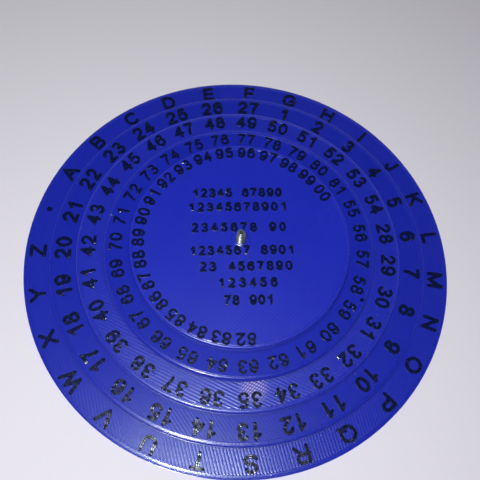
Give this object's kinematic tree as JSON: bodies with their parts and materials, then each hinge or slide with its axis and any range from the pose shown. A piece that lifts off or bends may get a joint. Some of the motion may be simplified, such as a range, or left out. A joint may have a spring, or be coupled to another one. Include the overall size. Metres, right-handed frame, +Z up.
{
  "type": "cipher wheel",
  "caption": "Stepped stack of flat round discs that turn on one upright centre pin, each with a ring of raised characters, for turning letters into numbers and back.",
  "frame": {"origin": "on the pin's axis, in the plane that the widest disc rests on", "axes": "+Z up along the pin; +X to the right and +Y away from the viewer in the picture's view"},
  "size_m": [0.12, 0.12, 0.0178],
  "materials": {
    "blue_plastic": "royal blue printed plastic with fine print lines and a soft gloss",
    "black_print": "black printed plastic, raised characters with small blobs and hairs",
    "pin_steel": "bright drawn steel, slightly worn"
  },
  "bodies": {
    "base": {"letter_disc": "blue_plastic", "centre_pin": "pin_steel"},
    "ring_1_27": {"disc_1_27": "blue_plastic"},
    "ring_28_54": {"disc_28_54": "blue_plastic"},
    "ring_55_81": {"disc_55_81": "blue_plastic"},
    "ring_82_00": {"disc_82_00": "blue_plastic"}
  },
  "joints": [
    {"name": "turn_1_27", "type": "hinge", "parent": "base", "child": "ring_1_27", "pos_m": [0, 0, 0.00375], "axis": [0, 0, 1], "continuous": true},
    {"name": "turn_28_54", "type": "hinge", "parent": "base", "child": "ring_28_54", "pos_m": [0, 0, 0.00635], "axis": [0, 0, 1], "continuous": true},
    {"name": "turn_55_81", "type": "hinge", "parent": "base", "child": "ring_55_81", "pos_m": [0, 0, 0.00895], "axis": [0, 0, 1], "continuous": true},
    {"name": "turn_82_00", "type": "hinge", "parent": "base", "child": "ring_82_00", "pos_m": [0, 0, 0.01155], "axis": [0, 0, 1], "continuous": true}
  ]
}
